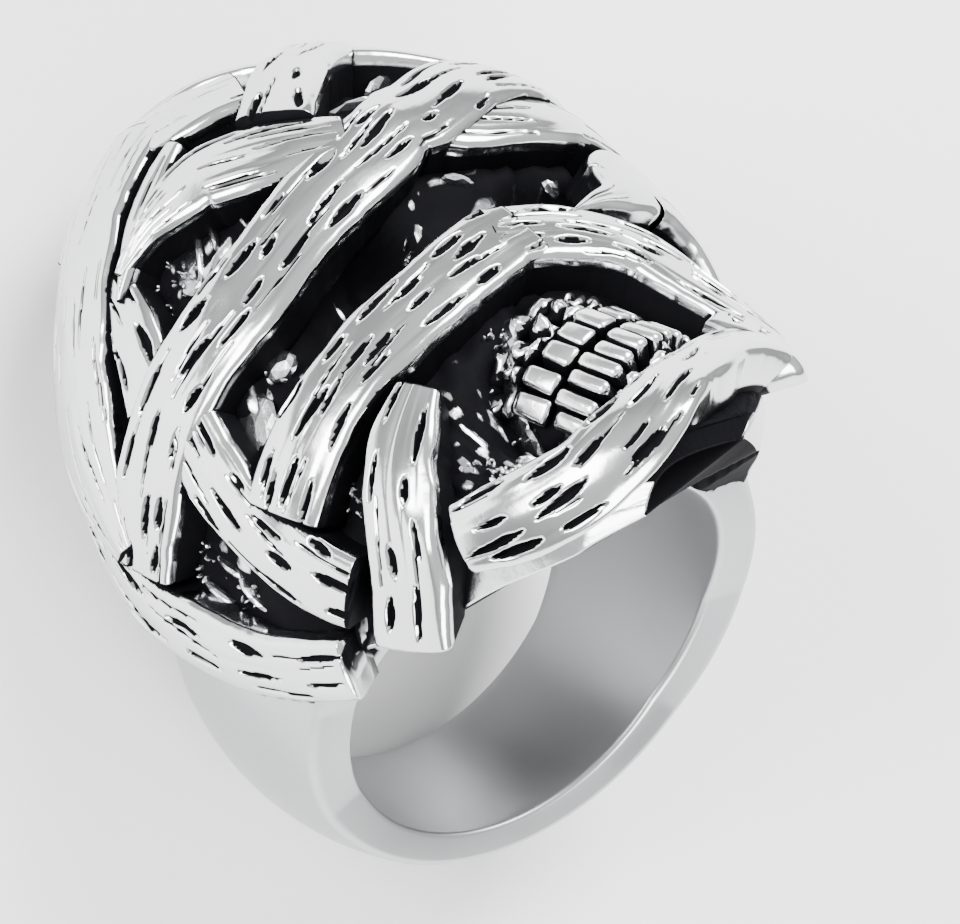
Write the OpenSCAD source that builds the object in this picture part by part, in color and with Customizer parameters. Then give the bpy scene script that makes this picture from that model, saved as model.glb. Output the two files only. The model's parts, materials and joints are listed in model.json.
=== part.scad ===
// Bandaged skull ring, one steel casting.
// The ring is drawn upright first: X runs across the face, Y along the finger towards the crown,
// and Z from the finger hole out through the face. rest() then lays it on its side, with +Z up.

/* [Finger hole] */
// Inner diameter of the ring
bore_d = 20; // [16:0.5:23]

/* [Shank] */
// Thickness of the band at the palm side
band_t = 2.2; // [1.6:0.1:3]
// Extra thickness of the band at its two sides
band_grow = 1.6; // [0.8:0.1:2.4]
// Width of the band at the palm side
band_w_back = 8; // [6:0.5:10]
// Width of the band level with the finger's middle
band_w_side = 11.5; // [9:0.5:14]
// Width of the band under the head
band_w_front = 18.5; // [15:0.5:20]
// How much thinner the band is at its edges than along its middle
band_crown = 0.9; // [0.3:0.1:1.2]

/* [Head] */
// Depth of the skull's surface under the outer face of the wraps
wrap_depth = 1.8; // [1.2:0.1:2.2]
// Turn of the mouth to the left, in degrees
mouth_turn = 16; // [0:1:20]
// Number of teeth in each row
tooth_count = 9; // [6:1:10]

/* [Hidden] */

bore_r = bore_d / 2;
silver = [0.80, 0.81, 0.82];
dark_silver = [0.42, 0.43, 0.45];
bone_silver = [0.60, 0.61, 0.63];

// Sections across the head, from the chin to the crown, over the outer face of the wraps.
// The heights are over the middle of a finger hole whose radius is HEAD_BORE_R.
// [y, left half width, right half width, top z, left rim z, right rim z, squareness of the right side]
HEAD = [
    [-18.0, 4.2, 2.6, 17.0, 13.4, 15.6, 0.85],
    [-16.8, 7.0, 4.6, 18.2, 12.2, 14.6, 0.80],
    [-14.0, 9.6, 7.4, 18.2, 10.2, 13.2, 0.75],
    [-10.0, 11.9, 10.6, 17.4, 6.8, 10.2, 0.72],
    [-4.0, 14.1, 13.6, 18.4, 4.2, 4.6, 0.70],
    [2.0, 15.3, 15.3, 19.8, 3.6, 3.6, 0.68],
    [8.0, 15.3, 15.3, 21.6, 4.8, 4.8, 0.72],
    [13.0, 13.8, 13.8, 21.4, 6.4, 6.4, 0.80],
    [17.5, 11.2, 11.0, 19.9, 7.8, 7.8, 0.88],
    [20.5, 8.2, 7.6, 17.6, 8.4, 8.4, 0.90],
    [22.2, 4.6, 3.8, 13.4, 8.6, 8.6, 0.90]
];
HEAD_Y = 0;
HEAD_LEFT = 1;
HEAD_RIGHT = 2;
HEAD_TOP = 3;
HEAD_LEFT_RIM = 4;
HEAD_RIGHT_RIM = 5;
HEAD_SQUARE = 6;
// Squareness of the left side: 1 is an ellipse and less is squarer
left_square = 0.9;
HEAD_BORE_R = 10;
head_rise = bore_r - HEAD_BORE_R;
chin_y = HEAD[0][HEAD_Y];
crown_y = HEAD[len(HEAD) - 1][HEAD_Y];

// The wraps, each a flat strip whose middle follows a route over the head.
// A route's points are [y, a]: a is the angle round the section, from 0 at the left rim
// over 90 at the top to 180 at the right rim. A third number is the share of the width there.
// [width, height over the outer face, route]
WRAP_W = 0;
WRAP_LIFT = 1;
WRAP_ROUTE = 2;
WRAPS = [
    // along the left shoulder, where the head meets the band
    [3.2, 0.0, [[10.5, 1], [7.3, -1], [3.8, -4], [0, -5], [-3, -6.5], [-5.3, -7.5], [-7.8, -9]]],
    // brow wrap, from the left side over the forehead to the back on the right
    [4.3, 0.4, [[4.0, 0], [4.1, 26], [3.8, 50], [5.0, 72], [6.1, 84], [8.8, 101], [9.6, 112],
                [11, 130], [12, 150]]],
    // nose wrap, left arm and right arm
    [4.0, 0.5, [[-3.6, 20], [-3.1, 38], [-2.9, 56], [-2.4, 73], [-1.0, 91]]],
    [3.7, 0.3, [[-0.9, 87], [-1.7, 95.5], [-3.4, 106], [-5.9, 115], [-8.0, 126], [-9.0, 138], [-9.4, 152]]],
    // second brow wrap, over the right eye
    [3.8, 0.0, [[5.6, 95], [5.8, 106], [5.3, 120], [4.4, 138], [3.4, 156], [3, 174]]],
    // temple strip, beside the right eye
    [2.8, 0.2, [[-0.4, 103], [0.8, 112], [1.4, 122], [1.0, 136], [0.2, 152], [-0.6, 172]]],
    // diagonal strip low on the left side
    [3.4, 0.3, [[3.4, 24], [0.4, 18], [-2.8, 13], [-6, 9.5], [-8.8, 7]]],
    // cheek strip on the left, from under the nose wrap to the band
    [3.9, 0.4, [[-6.0, 52], [-7.6, 38], [-9.0, 24], [-10.3, 11], [-10.9, 0]]],
    // chin strip, from the left cheek round the chin
    [4.0, 0.4, [[-12.2, 17, 0.85], [-14.3, 20, 1], [-15.8, 31, 1], [-16.1, 48, 1], [-15.7, 69, 0.9],
                [-14.4, 87, 0.85], [-12.5, 104, 0.8], [-11.5, 120, 0.8], [-12.2, 134, 0.7],
                [-13.9, 144, 0.6]]],
    // cheek strip on the right, from under the chin strip
    [3.8, 0.3, [[-10.6, 122], [-8.4, 134], [-5.4, 148], [-3, 162]]],
    // left edge of the crown, down the side to the shoulder
    [5.0, 0.7, [[19.2, 46], [17.9, 30], [15.8, 19], [12.6, 12], [9.6, 8], [6.4, 4]]],
    // strip across the back of the crown
    [4.8, 0.7, [[17.4, 50], [16.9, 62], [16.4, 75], [15.8, 88]]],
    // pitted strip that climbs over the crown
    [4.4, 0.8, [[10.6, 68], [12.2, 74], [14.2, 83], [16.6, 95], [19.0, 108]]],
    // fan of strips from the left side to the forehead
    [4.3, 0.3, [[7.4, 14], [9.4, 26], [10.3, 40], [10.2, 52], [9.2, 64], [7.6, 77]]],
    // short strip between the left edge and the brow wrap
    [3.0, 0.0, [[10.8, 29], [8.8, 25], [6.8, 21], [5.0, 16]]],
    // right half of the crown's weave
    [3.8, 0.2, [[10.2, 84], [11.4, 94], [13.2, 106], [15.0, 120], [16.4, 138]]],
    [3.6, 0.3, [[16.8, 100], [15.0, 114], [12.4, 128], [9.6, 142], [7.6, 156], [6.6, 170]]],
    [3.8, 0.0, [[19.4, 112], [18.2, 130], [15.8, 146], [12.8, 158], [9.6, 168]]],
    // round the back of the crown
    [3.2, 0.2, [[19.0, 14], [19.9, 40], [20.2, 66], [20.3, 90], [20.2, 114], [19.9, 140], [19.0, 166]]],
    // along the right shoulder
    [3.2, 0.0, [[10.5, 179], [7.3, 181], [3.8, 184], [0, 185], [-3, 186.5]]]
];

function spow(v, p) = sign(v) * pow(abs(v), p);
function unit(v) = v / norm(v);
function clamp(v, low, high) = min(max(v, low), high);
function mix(a, b, t) = a + (b - a) * t;

// One column of the HEAD table at any y, on a smooth curve through its rows
function head_row(y, i = 0) = i >= len(HEAD) - 2 || y < HEAD[i + 1][HEAD_Y] ? i : head_row(y, i + 1);
function head_slope(i, c) =
    let (j = clamp(i - 1, 0, len(HEAD) - 1), k = clamp(i + 1, 0, len(HEAD) - 1))
    (HEAD[k][c] - HEAD[j][c]) / (HEAD[k][HEAD_Y] - HEAD[j][HEAD_Y]);
function head_at(y, c) =
    let (i = head_row(y), d = HEAD[i + 1][HEAD_Y] - HEAD[i][HEAD_Y],
         t = clamp((y - HEAD[i][HEAD_Y]) / d, 0, 1),
         p = HEAD[i][c], q = HEAD[i + 1][c], m = head_slope(i, c) * d, n = head_slope(i + 1, c) * d)
    p + m * t + (3 * (q - p) - 2 * m - n) * t * t + (2 * (p - q) + m + n) * t * t * t;

// A point on the outer face of the head, its normal there, and a point lifted along that normal
function skin(y, a) =
    let (right = a > 90, w = head_at(y, right ? HEAD_RIGHT : HEAD_LEFT), top = head_at(y, HEAD_TOP),
         rim = head_at(y, right ? HEAD_RIGHT_RIM : HEAD_LEFT_RIM),
         square = right ? head_at(y, HEAD_SQUARE) : left_square)
    [-w * spow(cos(a), square), clamp(y, chin_y, crown_y), rim + (top - rim) * spow(sin(a), square)];
step_y = 0.3;
step_a = 2;
function skin_normal(y, a) =
    let (yy = clamp(y, chin_y + step_y, crown_y - step_y))
    unit(cross(skin(yy, a + step_a) - skin(yy, a - step_a), skin(yy + step_y, a) - skin(yy - step_y, a)));
function lifted(y, a, h) = skin(y, a) + h * skin_normal(y, a);

// Where one comes by walking over the head from [y, a] in a direction, by a distance
function walk(y, a, way, distance, steps = 3) =
    steps == 0 ? [y, a] :
    let (yy = clamp(y, chin_y + step_y, crown_y - step_y),
         per_y = (skin(yy + step_y, a) - skin(yy - step_y, a)) / (2 * step_y),
         per_a = (skin(yy, a + step_a) - skin(yy, a - step_a)) / (2 * step_a),
         cross_term = per_y * per_a,
         more_y = (per_a * per_a) * (way * per_y) - cross_term * (way * per_a),
         more_a = (per_y * per_y) * (way * per_a) - cross_term * (way * per_y),
         pace = distance / steps / norm(per_y * more_y + per_a * more_a))
    walk(y + more_y * pace, a + more_a * pace, way, distance * (steps - 1) / steps, steps - 1);

// A smooth curve through the points of a route, at u from 0 to the number of its spans
function route_at(route, u) =
    let (last = len(route) - 1, i = min(floor(u), last - 1), t = u - i,
         p = route[max(i - 1, 0)], q = route[i], r = route[i + 1], s = route[min(i + 2, last)])
    0.5 * (2 * q + (r - p) * t + (2 * p - 5 * q + 4 * r - s) * t * t + (3 * q - p - 3 * r + s) * t * t * t);

// A closed solid from rings of points, all with the same count
module skinned(rings) {
    count = len(rings[0]);
    last = len(rings) - 1;
    sides = [for (i = [0 : last - 1], j = [0 : count - 1])
        let (k = (j + 1) % count)
        [i * count + j, (i + 1) * count + j, (i + 1) * count + k, i * count + k]];
    first_cap = [for (j = [0 : count - 1]) j];
    last_cap = [for (j = [count - 1 : -1 : 0]) last * count + j];
    polyhedron(points = [for (ring = rings) each ring], faces = concat(sides, [first_cap, last_cap]),
               convexity = 6);
}

// Everything on the head stands on the finger hole, whatever its size
module on_head() {
    translate([0, 0, head_rise]) children();
}

// The head's form, drawn in from the outer face by a depth. Its skirt reaches a little below the rim.
head_steps_y = 22;
head_steps_a = 20;
head_skirt_a = 8;
module head_form(depth) {
    rings = [for (i = [0 : head_steps_y])
        let (y = mix(chin_y, crown_y, 0.5 - 0.5 * cos(180 * i / head_steps_y)))
        [for (j = [0 : head_steps_a])
            lifted(y, mix(-head_skirt_a, 180 + head_skirt_a, j / head_steps_a), -depth)]];
    skinned(rings);
}

// One wrap: a flat strip with rounded edges that follows its route over the head
wrap_round = 0.45;
wrap_camber = 0.15;
wrap_root = 0.4;
wrap_steps = 3;
module wrap(row) {
    route = row[WRAP_ROUTE];
    half = row[WRAP_W] / 2;
    lift = row[WRAP_LIFT];
    low = -wrap_depth - wrap_root;
    // [sideways, height] of the strip's section
    section = [[-half, low], [-half, lift - wrap_round], [-half + wrap_round, lift],
               [0, lift + wrap_camber], [half - wrap_round, lift], [half, lift - wrap_round], [half, low]];
    spans = (len(route) - 1) * wrap_steps;
    rings = [for (i = [0 : spans])
        let (u = i / wrap_steps, here = route_at(route, u),
             back = route_at(route, max(u - 0.1, 0)), ahead = route_at(route, min(u + 0.1, len(route) - 1)),
             along = skin(ahead[0], ahead[1]) - skin(back[0], back[1]),
             side = unit(cross(along, skin_normal(here[0], here[1]))),
             share = len(here) > 2 ? here[2] : 1)
        [for (s = section) let (to = walk(here[0], here[1], side, s[0] * share)) lifted(to[0], to[1], s[1])]];
    skinned(rings);
}

module wraps_form() {
    on_head() for (row = WRAPS) wrap(row);
}

// An egg-shaped solid, for hollows and bulges
module ball(centre, size) {
    translate(centre) scale(size) sphere(r = 1, $fn = 20);
}

// A bar with round ends that runs through a list of points
module bar(points, r) {
    for (i = [0 : len(points) - 2])
        hull() {
            translate(points[i]) sphere(r = r, $fn = 10);
            translate(points[i + 1]) sphere(r = r, $fn = 10);
        }
}

// The skull under the wraps, with its sockets, cheekbones and rim
eye_x = 6.0;
eye_y = 1.6;
eye_z = 18.2;
module skull_form() {
    on_head() {
        difference() {
            head_form(wrap_depth);
            for (side = [-1, 1]) ball([side * eye_x, eye_y, eye_z], [4.4, 3.0, 4.6]);
            ball([0, -4.6, 18], [1.6, 1.9, 3.2]);
            ball([mouth_x, mouth_y - 1, 19.5], [9.6, 5.4, 6.2]);
        }
        for (side = [-1, 1]) cheekbone(side);
        crown_rim();
    }
}

// The cheekbone and the bone that frames the eye from below
module cheekbone(side) {
    bar([[side * 3.0, -3.8, 16.4], [side * 7.2, -4.6, 14.8], [side * 11.2, -2.2, 12.2]], 1.3);
}

// The rim that closes the head behind the crown. Its straight stretch is what the ring lies on.
crown_rim_r = 1.3;
crown_rim_y = 20.4;
crown_rim_z = 9.8;
module crown_rim() {
    left = [[-11.2, 16.2, 8.8], [-8.4, 18.6, 9.4], [-4.8, crown_rim_y, crown_rim_z]];
    bar(left, crown_rim_r);
    mirror([1, 0, 0]) bar(left, crown_rim_r);
    bar([left[2], [-left[2][0], crown_rim_y, crown_rim_z]], crown_rim_r);
}

// Hollows in the back of the casting, under the chin and under the crown, and in the chin's end
module back_hollows() {
    on_head() {
        ball([1.2, -12.8, 10.0], [7.2, 3.8, 4.6]);
        ball([-0.8, -17.0, 13.9], [2.3, 2.6, 2.0]);
        ball([0, 14.6, 6.4], [10.0, 5.4, 10.6]);
    }
}

// The mouth's own place: its origin is the middle of the jaws' arch, and it is turned a little
mouth_x = 0.8;
mouth_y = -8.4;
mouth_z = 12.6;
module in_mouth() {
    on_head() translate([mouth_x, mouth_y, mouth_z]) rotate([0, 0, mouth_turn]) children();
}

// The two jaws, each with a row of teeth, and the chin bone below them
jaw_r = 4.2;
upper_tooth_l = 2.8;
lower_tooth_l = 2.4;
module jaws_form() {
    in_mouth() {
        ball([0, 0.2, -0.3], [jaw_r + 0.3, 4.6, jaw_r]);
        bar([for (turn = [-75 : 25 : 75])
            [(jaw_r + 0.9) * sin(turn), -2.6 - 2.0 * cos(turn), 3.6 * cos(turn) - 0.6]], 1.3);
        tooth_row(0.1 + upper_tooth_l / 2, upper_tooth_l, 8);
        tooth_row(-0.1 - lower_tooth_l / 2, lower_tooth_l, -8);
    }
}

// A row of teeth round the jaw's arch, each a tapered block that leans in at its root
teeth_span = 126;
tooth_w = 1.1;
tooth_h = 1.0;
module tooth_row(y, length, lean) {
    for (i = [0 : tooth_count - 1]) {
        turn = (i / (tooth_count - 1) - 0.5) * teeth_span;
        translate([0, y, 0]) rotate([0, turn, 0]) translate([0, 0, jaw_r]) rotate([lean, 0, 0]) hull() {
            cube([tooth_w, length, tooth_h], center = true);
            translate([0, 0, tooth_h / 2]) cube([0.7 * tooth_w, 0.8 * length, tooth_h], center = true);
        }
    }
}

// The band, without the finger hole. Its outer face is a circle round a centre that is lifted by
// band_grow, and across the band it is a long arc, so the edges are thinner than the middle.
band_outer_r = bore_r + band_t + band_grow;
band_reach = band_w_front / 2;
band_arc_r = (pow(band_w_back / 2, 2) + pow(band_crown, 2)) / (2 * band_crown) + 4;
shelf_x = bore_r + 3.0;
shelf_z = 1.2 + head_rise;
module band_form() {
    difference() {
        intersection() {
            translate([0, 0, band_grow])
                rotate([90, 0, 0])
                    rotate_extrude($fn = 96)
                        intersection() {
                            translate([0, -band_reach]) square([band_outer_r, 2 * band_reach]);
                            translate([band_outer_r - band_arc_r, 0]) circle(r = band_arc_r, $fn = 120);
                        }
            rotate([0, 90, 0])
                linear_extrude(2 * band_outer_r + 2, center = true)
                    band_outline();
        }
        // The head starts on a shelf at each side
        for (side = [-1, 1])
            translate([side * (shelf_x + band_outer_r), 0, shelf_z + band_outer_r])
                cube([2 * band_outer_r, 3 * band_reach, 2 * band_outer_r], center = true);
    }
}

// The band from the side: narrow at the palm, wide under the head. X here is downwards.
module band_outline() {
    // [downwards, half width]
    edge = [[-bore_r - band_t, band_w_front / 2], [-bore_r, band_w_front / 2], [0, band_w_side / 2],
            [bore_r * 0.6, band_w_back / 2 + 0.5], [bore_r + band_t + 1, band_w_back / 2]];
    polygon([for (p = edge) [p[0], -p[1]], for (i = [len(edge) - 1 : -1 : 0]) edge[i]]);
}

module finger_hole() {
    rotate([90, 0, 0]) cylinder(r = bore_r, h = 60, center = true, $fn = 96);
}

// Lying on its side: the crown's rim and the band's edge at the palm touch the surface.
// [y, z] of the two touching places, in the upright ring
palm_foot_y = band_w_back / 2 + 0.1;
palm_foot = [palm_foot_y,
             band_grow - band_outer_r + band_arc_r - sqrt(pow(band_arc_r, 2) - pow(palm_foot_y, 2))];
crown_foot = [crown_rim_y, crown_rim_z + head_rise];
foot_gap = crown_foot - palm_foot;
lie_angle = atan2(foot_gap[1], foot_gap[0]) - asin(crown_rim_r / norm(foot_gap));
lie_height = palm_foot[0] * sin(lie_angle) - palm_foot[1] * cos(lie_angle);
// How far the wrapped head and the palm reach to the two sides of the finger's middle, once it lies
function lie_reach(y, z) = y * cos(lie_angle) + z * sin(lie_angle);
wrap_reach = max([for (row = WRAPS) row[WRAP_LIFT]]) + wrap_camber;
head_reach = max([for (row = HEAD) lie_reach(row[HEAD_Y], row[HEAD_TOP] + head_rise)]) + wrap_reach;
palm_reach = -lie_reach(-palm_foot[0], palm_foot[1]);
lie_back = (head_reach - palm_reach) / 2;
module rest() {
    translate([0, lie_back, lie_height]) rotate([-lie_angle, 0, 180]) children();
}

module shank() {
    color(silver) rest() difference() {
        band_form();
        finger_hole();
    }
}

module skull() {
    color(dark_silver) rest() difference() {
        skull_form();
        back_hollows();
        band_form();
        finger_hole();
    }
}

module jaws() {
    color(bone_silver) rest() difference() {
        jaws_form();
        skull_form();
        back_hollows();
        band_form();
        finger_hole();
    }
}

module wraps() {
    color(silver) rest() difference() {
        wraps_form();
        skull_form();
        jaws_form();
        band_form();
        finger_hole();
    }
}

shank();
skull();
jaws();
wraps();
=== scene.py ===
# %% [markdown]
# A bandaged skull ring in cast steel. The skull's head is wound with wide pitted strips, and the
# band is plain. The real ring is one casting, polished on a wheel: the wheel brightens all that
# it reaches, and the black finish stays in the pits and between the strips.
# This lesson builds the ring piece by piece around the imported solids, and then lights it.

# %% Load the fixed frame
import json
import math

import bmesh
import bpy
import numpy as np
from mathutils import Matrix, Vector
from mathutils.bvhtree import BVHTree


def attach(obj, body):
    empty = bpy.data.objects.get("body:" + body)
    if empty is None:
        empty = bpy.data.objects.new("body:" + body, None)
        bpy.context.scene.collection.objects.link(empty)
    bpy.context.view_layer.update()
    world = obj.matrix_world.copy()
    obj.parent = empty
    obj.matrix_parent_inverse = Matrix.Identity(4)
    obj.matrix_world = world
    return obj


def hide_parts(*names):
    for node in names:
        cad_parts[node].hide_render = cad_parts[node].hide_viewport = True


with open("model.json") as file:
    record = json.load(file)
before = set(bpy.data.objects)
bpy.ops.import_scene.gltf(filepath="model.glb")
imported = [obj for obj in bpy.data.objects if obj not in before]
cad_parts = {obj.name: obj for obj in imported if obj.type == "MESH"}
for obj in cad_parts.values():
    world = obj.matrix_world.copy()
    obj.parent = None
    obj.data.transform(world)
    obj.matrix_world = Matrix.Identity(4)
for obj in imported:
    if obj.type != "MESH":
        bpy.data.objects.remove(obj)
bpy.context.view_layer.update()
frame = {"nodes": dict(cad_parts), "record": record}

print("solids:", sorted(frame["nodes"]))

# %% [markdown]
# The ring lies on its side, but it is easier to think of it upright: X across the face, Y along
# the finger towards the crown, and Z from the finger out through the face, in millimetres.
# The finger hole's mount says where that upright frame lies, so nothing is measured by hand.

# %% From the upright ring to where it lies
MM = 0.001
finger = next(m for m in frame["record"]["mounts"] if m["name"] == "finger")
finger_r = finger["dims"]["r_mm"]
across = Vector((-1, 0, 0))
crownward = -Vector(finger["axis"]).normalized()
outward = across.cross(crownward)
ring_axes = np.array([across, crownward, outward])
ring_middle = np.array(finger["pos_m"])


def lay_down(points):
    """Points of the upright ring, in millimetres, where they lie, in metres."""
    return np.asarray(points) @ ring_axes * MM + ring_middle


print("finger hole radius", finger_r, "mm")

# %% [markdown]
# The outer face of the wrapped head is one smooth form. It could be sculpted, but a short table of
# sections, from the chin to the crown, is easier to set against a photo: it says how wide and how
# high the head is. The tops of the strips lie on this form or a little over it, and the skull lies
# a strip's thickness under it.

# %% Sections of the head
# [y, left half width, right half width, top z, left rim z, right rim z, squareness of the right side]
HEAD = np.array([
    [-18.0, 4.2, 2.6, 17.0, 13.4, 15.6, 0.85],
    [-16.8, 7.0, 4.6, 18.2, 12.2, 14.6, 0.80],
    [-14.0, 9.6, 7.4, 18.2, 10.2, 13.2, 0.75],
    [-10.0, 11.9, 10.6, 17.4, 6.8, 10.2, 0.72],
    [-4.0, 14.1, 13.6, 18.4, 4.2, 4.6, 0.70],
    [2.0, 15.3, 15.3, 19.8, 3.6, 3.6, 0.68],
    [8.0, 15.3, 15.3, 21.6, 4.8, 4.8, 0.72],
    [13.0, 13.8, 13.8, 21.4, 6.4, 6.4, 0.80],
    [17.5, 11.2, 11.0, 19.9, 7.8, 7.8, 0.88],
    [20.5, 8.2, 7.6, 17.6, 8.4, 8.4, 0.90],
    [22.2, 4.6, 3.8, 13.4, 8.6, 8.6, 0.90],
])
LEFT, RIGHT, TOP, LEFT_RIM, RIGHT_RIM, SQUARE = 1, 2, 3, 4, 5, 6
left_square = 0.9
chin_y, crown_y = HEAD[0, 0], HEAD[-1, 0]
wrap_depth = 1.8


def column(y, c):
    """One column of the table at any y, on a smooth curve through its rows."""
    ys, values = HEAD[:, 0], HEAD[:, c]
    before = np.maximum(np.arange(len(ys)) - 1, 0)
    after = np.minimum(np.arange(len(ys)) + 1, len(ys) - 1)
    slope = (values[after] - values[before]) / (ys[after] - ys[before])
    i = np.clip(np.searchsorted(ys, y, side="right") - 1, 0, len(ys) - 2)
    d = ys[i + 1] - ys[i]
    t = np.clip((y - ys[i]) / d, 0, 1)
    p, q, m, n = values[i], values[i + 1], slope[i] * d, slope[i + 1] * d
    return p + m * t + (3 * (q - p) - 2 * m - n) * t**2 + (2 * (p - q) + m + n) * t**3


print("head", np.ptp(HEAD[:, 0]), "mm long and", (HEAD[:, LEFT] + HEAD[:, RIGHT]).max(), "mm wide")

# %% [markdown]
# A place on the head is named by y, the place along the finger, and a, the angle round the
# section: 0 at the left rim, 90 on top and 180 at the right rim. Three helpers give the point
# there, the direction straight out of the metal, and a point some height above the face.

# %% Points on the head
STEP_Y, STEP_A = 0.3, 2.0


def signed_power(v, p):
    return np.sign(v) * np.abs(v) ** p


def unit(v):
    return v / np.linalg.norm(v, axis=-1, keepdims=True)


def skin(y, a):
    """Points on the outer face of the head."""
    y, a = np.broadcast_arrays(np.asarray(y, float), np.asarray(a, float))
    right = a > 90
    wide = np.where(right, column(y, RIGHT), column(y, LEFT))
    rim = np.where(right, column(y, RIGHT_RIM), column(y, LEFT_RIM))
    square = np.where(right, column(y, SQUARE), left_square)
    turn = np.radians(a)
    x = -wide * signed_power(np.cos(turn), square)
    z = rim + (column(y, TOP) - rim) * signed_power(np.sin(turn), square)
    return np.stack([x, np.clip(y, chin_y, crown_y), z], axis=-1)


def skin_normal(y, a):
    """The direction straight out of the head's face."""
    y = np.clip(y, chin_y + STEP_Y, crown_y - STEP_Y)
    round_it = skin(y, a + STEP_A) - skin(y, a - STEP_A)
    along_it = skin(y + STEP_Y, a) - skin(y - STEP_Y, a)
    return unit(np.cross(round_it, along_it))


def lifted(y, a, height):
    """Points above the head's face, or under it where the height is less than 0."""
    return skin(y, a) + np.asarray(height)[..., None] * skin_normal(y, a)


print("top of the brow", np.round(skin(6, 90), 1))

# %% [markdown]
# A strip's width is in millimetres, but y and a are a length and an angle, and the head bends
# under them. So one walks over the head in small steps. Each step looks at how far a small change
# of y and of a leads there, and solves for the two changes that lead the right way.

# %% Walk over the head
walk_steps = 6


def walk(y, a, way, distance):
    """Where one comes by walking over the head from [y, a] in a direction, by a distance."""
    y, a, distance = np.broadcast_arrays(y, a, distance)
    for _ in range(walk_steps):
        here = np.clip(y, chin_y + STEP_Y, crown_y - STEP_Y)
        per_y = (skin(here + STEP_Y, a) - skin(here - STEP_Y, a)) / (2 * STEP_Y)
        per_a = (skin(here, a + STEP_A) - skin(here, a - STEP_A)) / (2 * STEP_A)
        yy, ya, aa = (per_y**2).sum(-1), (per_y * per_a).sum(-1), (per_a**2).sum(-1)
        to_y, to_a = (way * per_y).sum(-1), (way * per_a).sum(-1)
        spread = yy * aa - ya * ya
        more_y, more_a = (aa * to_y - ya * to_a) / spread, (yy * to_a - ya * to_y) / spread
        pace = np.linalg.norm(per_y * more_y[..., None] + per_a * more_a[..., None], axis=-1)
        y = y + more_y / pace * distance / walk_steps
        a = a + more_a / pace * distance / walk_steps
    return y, a


print("3 mm to the right of the brow, y and a:", *np.round(walk(6.0, 90.0, np.array([1, 0, 0]), 3.0), 1))

# %% [markdown]
# Cast metal is never quite even. A noise texture could only shade it, so the bumps are real ones:
# a lattice of random numbers, read with a smooth blend between its points, gives soft bumps of
# any size. The lattice comes from a seed, so that the ring is the same each time.

# %% Soft bumps
LATTICE = 64


def bumps(u, v, seed):
    """Smooth noise from -1 to 1, with bumps about one unit across."""
    grid = np.random.default_rng(seed).uniform(-1, 1, (LATTICE, LATTICE))
    u, v = np.broadcast_arrays(np.asarray(u, float), np.asarray(v, float))
    i, j = np.floor(u).astype(int), np.floor(v).astype(int)
    s, t = u - i, v - j
    s, t = s * s * (3 - 2 * s), t * t * (3 - 2 * t)
    i, j, k, m = i % LATTICE, j % LATTICE, (i + 1) % LATTICE, (j + 1) % LATTICE
    near = grid[i, j] * (1 - s) + grid[k, j] * s
    far = grid[i, m] * (1 - s) + grid[k, m] * s
    return near * (1 - t) + far * t


def ramp(v, low, high):
    """0 at low, 1 at high, and smooth between them. low may be above high."""
    t = np.clip((v - low) / (high - low), 0, 1)
    return t * t * (3 - 2 * t)


print("bumps at three places:", np.round(bumps([0.5, 3.2, 9.9], [0.1, 0.7, 4.4], 1), 2))

# %% [markdown]
# Each piece starts in a bmesh, where Blender's modelling operators work without the editor. Each
# vertex keeps one number beside its place, how black its metal is, and the finish reads it later.

# %% Start and finish a piece
BLACK = "black"


def new_bmesh():
    """An empty bmesh whose vertices keep how black they are."""
    bm = bmesh.new()
    bm.verts.layers.float.new(BLACK)
    return bm


def set_verts(bm, verts, points, black):
    """Moves vertices to points of the upright ring, and notes how black they are."""
    tone = bm.verts.layers.float[BLACK]
    for vert, place, shade in zip(verts, lay_down(points), black):
        vert.co = place
        vert[tone] = shade


def smooth(bm):
    for face in bm.faces:
        face.smooth = True


def finished(name, bm):
    """A bmesh as an object, with its place in its mesh."""
    mesh = bpy.data.meshes.new(name)
    bm.to_mesh(mesh)
    bm.free()
    piece = bpy.data.objects.new(name, mesh)
    bpy.context.scene.collection.objects.link(piece)
    print(f"{name}: {len(mesh.vertices)} vertices")
    return piece


print("each vertex keeps its place and", BLACK)

# %% [markdown]
# The long shapes are all made the same way: a flat grid is rolled up into a tube, as a sheet of
# wax would be. Its two long edges are merged, its ends are filled, and the normals are turned
# outwards. So the skull and every strip are closed pieces of even faces.

# %% Roll a grid into a closed piece
SAME_PLACE = 1e-7


def rolled(name, points, black):
    """A closed piece from points[ring, place in the ring] of the upright ring."""
    rings, places = points.shape[:2]
    points = np.concatenate([points, points[:, :1]], axis=1)
    black = np.concatenate([black, black[:, :1]], axis=1)
    bm = new_bmesh()
    bmesh.ops.create_grid(bm, x_segments=places, y_segments=rings - 1, size=1)
    set_verts(bm, bm.verts, points.reshape(-1, 3), black.reshape(-1))
    bmesh.ops.remove_doubles(bm, verts=bm.verts, dist=SAME_PLACE)
    smooth(bm)
    rim = [e for e in bm.edges if e.is_boundary]
    bmesh.ops.holes_fill(bm, edges=rim, sides=0)
    bmesh.ops.recalc_face_normals(bm, faces=bm.faces)
    return finished(name, bm)


print("a rolled grid merges what lies within", round(SAME_PLACE / MM, 6), "mm")

# %% [markdown]
# The finish. Steel and its black patina are two shaders, and the number that each vertex keeps
# mixes them. A painted picture could do the same, but a number in the mesh needs no unwrapping.
# Fine noise in the roughness and the bump gives the unevenness that a polishing wheel leaves.

# %% Steel and its black finish
patina = {"Base Color": (0.004, 0.004, 0.005, 1), "Metallic": 0, "Roughness": 0.6, "Specular IOR Level": 0.02}
smoothest, roughest = 0.75, 1.35
grain_detail = 4
patina_edge = {"From Min": 0.3, "From Max": 0.7}


def link(tree, a, out, b, into):
    tree.links.new(a.outputs[out], b.inputs[into])


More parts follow.
